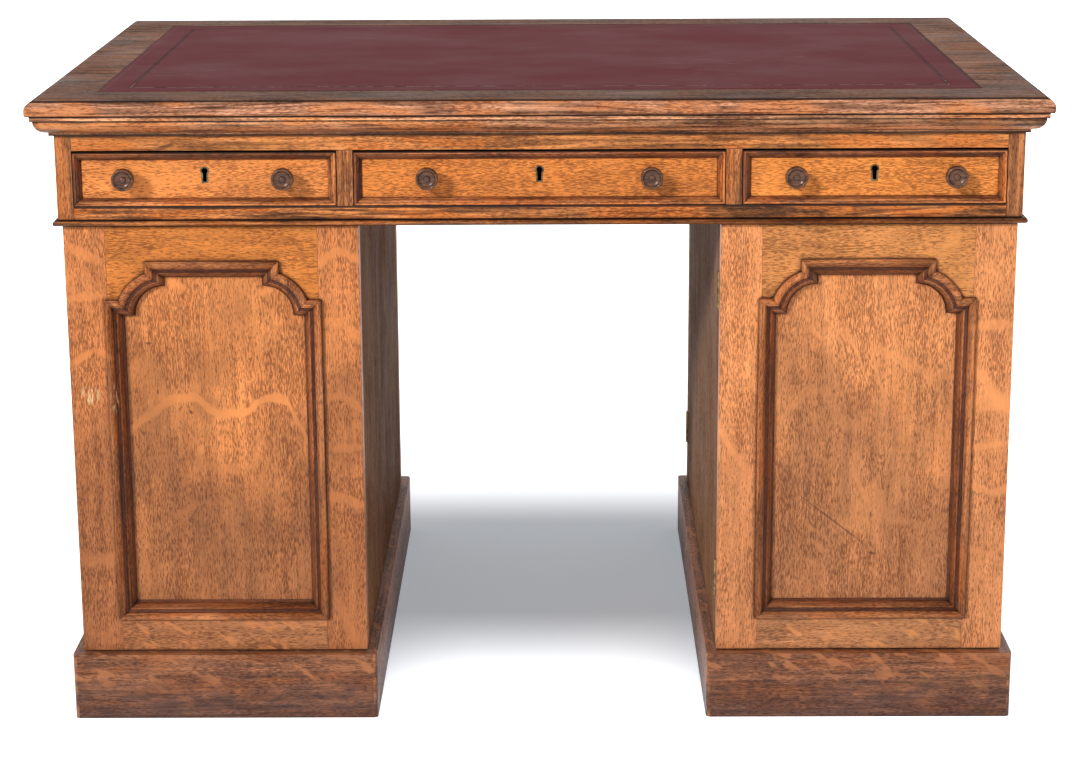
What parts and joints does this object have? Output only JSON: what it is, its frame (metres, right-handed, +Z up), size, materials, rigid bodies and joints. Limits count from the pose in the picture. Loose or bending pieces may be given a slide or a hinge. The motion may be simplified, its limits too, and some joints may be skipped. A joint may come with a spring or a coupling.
{
  "type": "partners desk",
  "caption": "Oak pedestal desk for use from both long sides, with a leather-inset moulded top, frieze drawers with turned knobs, and pedestals with hinged panelled doors.",
  "frame": {"origin": "on the floor under the middle of the top", "axes": "+X along the length to the right as seen from the front, +Y from front to rear, +Z up"},
  "size_m": [1.22, 0.76, 0.79],
  "materials": {
    "oak": "waxed golden oak",
    "lining_oak": "bare oak",
    "leather": "tooled dark red hide",
    "knob_wood": "polished dark turned wood",
    "brass": "aged brass"
  },
  "bodies": {
    "carcase": {"top_boards": "oak", "leather_skiver": "leather", "cornice_moulding": "oak", "frieze_ends": "oak", "frieze_rails": "oak", "frieze_dividers": "oak", "frieze_centre_board": "lining_oak", "drawer_runners": "lining_oak", "frieze_base_moulding": "oak", "hinge_fixed_leaves": "brass", "left_pedestal_carcase": "oak", "left_plinth": "oak", "right_pedestal_carcase": "oak", "right_plinth": "oak"},
    "front_left_drawer": {"front_left_drawer_front": "oak", "front_left_drawer_box": "lining_oak", "front_left_drawer_knobs": "knob_wood", "front_left_drawer_lock": "brass"},
    "front_left_drawer_bolt": {"front_left_drawer_bolt": "brass"},
    "front_centre_drawer": {"front_centre_drawer_front": "oak", "front_centre_drawer_box": "lining_oak", "front_centre_drawer_knobs": "knob_wood", "front_centre_drawer_lock": "brass"},
    "front_centre_drawer_bolt": {"front_centre_drawer_bolt": "brass"},
    "front_right_drawer": {"front_right_drawer_front": "oak", "front_right_drawer_box": "lining_oak", "front_right_drawer_knobs": "knob_wood", "front_right_drawer_lock": "brass"},
    "front_right_drawer_bolt": {"front_right_drawer_bolt": "brass"},
    "front_left_door": {"front_left_door_frame": "oak", "front_left_door_panel": "oak", "front_left_door_moulding": "oak", "front_left_door_hinges": "brass"},
    "front_right_door": {"front_right_door_frame": "oak", "front_right_door_panel": "oak", "front_right_door_moulding": "oak", "front_right_door_hinges": "brass"},
    "rear_left_drawer": {"rear_left_drawer_front": "oak", "rear_left_drawer_box": "lining_oak", "rear_left_drawer_knobs": "knob_wood", "rear_left_drawer_lock": "brass"},
    "rear_left_drawer_bolt": {"rear_left_drawer_bolt": "brass"},
    "rear_centre_drawer": {"rear_centre_drawer_front": "oak", "rear_centre_drawer_box": "lining_oak", "rear_centre_drawer_knobs": "knob_wood", "rear_centre_drawer_lock": "brass"},
    "rear_centre_drawer_bolt": {"rear_centre_drawer_bolt": "brass"},
    "rear_right_drawer": {"rear_right_drawer_front": "oak", "rear_right_drawer_box": "lining_oak", "rear_right_drawer_knobs": "knob_wood", "rear_right_drawer_lock": "brass"},
    "rear_right_drawer_bolt": {"rear_right_drawer_bolt": "brass"},
    "rear_left_door": {"rear_left_door_frame": "oak", "rear_left_door_panel": "oak", "rear_left_door_moulding": "oak", "rear_left_door_hinges": "brass"},
    "rear_right_door": {"rear_right_door_frame": "oak", "rear_right_door_panel": "oak", "rear_right_door_moulding": "oak", "rear_right_door_hinges": "brass"}
  },
  "joints": [
    {"name": "front_left_drawer_slide", "type": "slide", "parent": "carcase", "child": "front_left_drawer", "axis": [0, -1, 0], "range_m": [0, 0.24]},
    {"name": "front_left_drawer_bolt_slide", "type": "slide", "parent": "front_left_drawer", "child": "front_left_drawer_bolt", "axis": [0, 0, 1], "range_m": [0, 0.008]},
    {"name": "front_centre_drawer_slide", "type": "slide", "parent": "carcase", "child": "front_centre_drawer", "axis": [0, -1, 0], "range_m": [0, 0.24]},
    {"name": "front_centre_drawer_bolt_slide", "type": "slide", "parent": "front_centre_drawer", "child": "front_centre_drawer_bolt", "axis": [0, 0, 1], "range_m": [0, 0.008]},
    {"name": "front_right_drawer_slide", "type": "slide", "parent": "carcase", "child": "front_right_drawer", "axis": [0, -1, 0], "range_m": [0, 0.24]},
    {"name": "front_right_drawer_bolt_slide", "type": "slide", "parent": "front_right_drawer", "child": "front_right_drawer_bolt", "axis": [0, 0, 1], "range_m": [0, 0.008]},
    {"name": "front_left_door_hinge", "type": "hinge", "parent": "carcase", "child": "front_left_door", "pos_m": [-0.576, -0.3237, 0.36], "axis": [0, 0, -1], "range_deg": [0, 170]},
    {"name": "front_right_door_hinge", "type": "hinge", "parent": "carcase", "child": "front_right_door", "pos_m": [0.219, -0.3237, 0.36], "axis": [0, 0, -1], "range_deg": [0, 170]},
    {"name": "rear_left_drawer_slide", "type": "slide", "parent": "carcase", "child": "rear_left_drawer", "axis": [0, 1, 0], "range_m": [0, 0.24]},
    {"name": "rear_left_drawer_bolt_slide", "type": "slide", "parent": "rear_left_drawer", "child": "rear_left_drawer_bolt", "axis": [0, 0, 1], "range_m": [0, 0.008]},
    {"name": "rear_centre_drawer_slide", "type": "slide", "parent": "carcase", "child": "rear_centre_drawer", "axis": [0, 1, 0], "range_m": [0, 0.24]},
    {"name": "rear_centre_drawer_bolt_slide", "type": "slide", "parent": "rear_centre_drawer", "child": "rear_centre_drawer_bolt", "axis": [0, 0, 1], "range_m": [0, 0.008]},
    {"name": "rear_right_drawer_slide", "type": "slide", "parent": "carcase", "child": "rear_right_drawer", "axis": [0, 1, 0], "range_m": [0, 0.24]},
    {"name": "rear_right_drawer_bolt_slide", "type": "slide", "parent": "rear_right_drawer", "child": "rear_right_drawer_bolt", "axis": [0, 0, 1], "range_m": [0, 0.008]},
    {"name": "rear_left_door_hinge", "type": "hinge", "parent": "carcase", "child": "rear_left_door", "pos_m": [-0.576, 0.3237, 0.36], "axis": [0, 0, 1], "range_deg": [0, 170]},
    {"name": "rear_right_door_hinge", "type": "hinge", "parent": "carcase", "child": "rear_right_door", "pos_m": [0.219, 0.3237, 0.36], "axis": [0, 0, 1], "range_deg": [0, 170]}
  ]
}
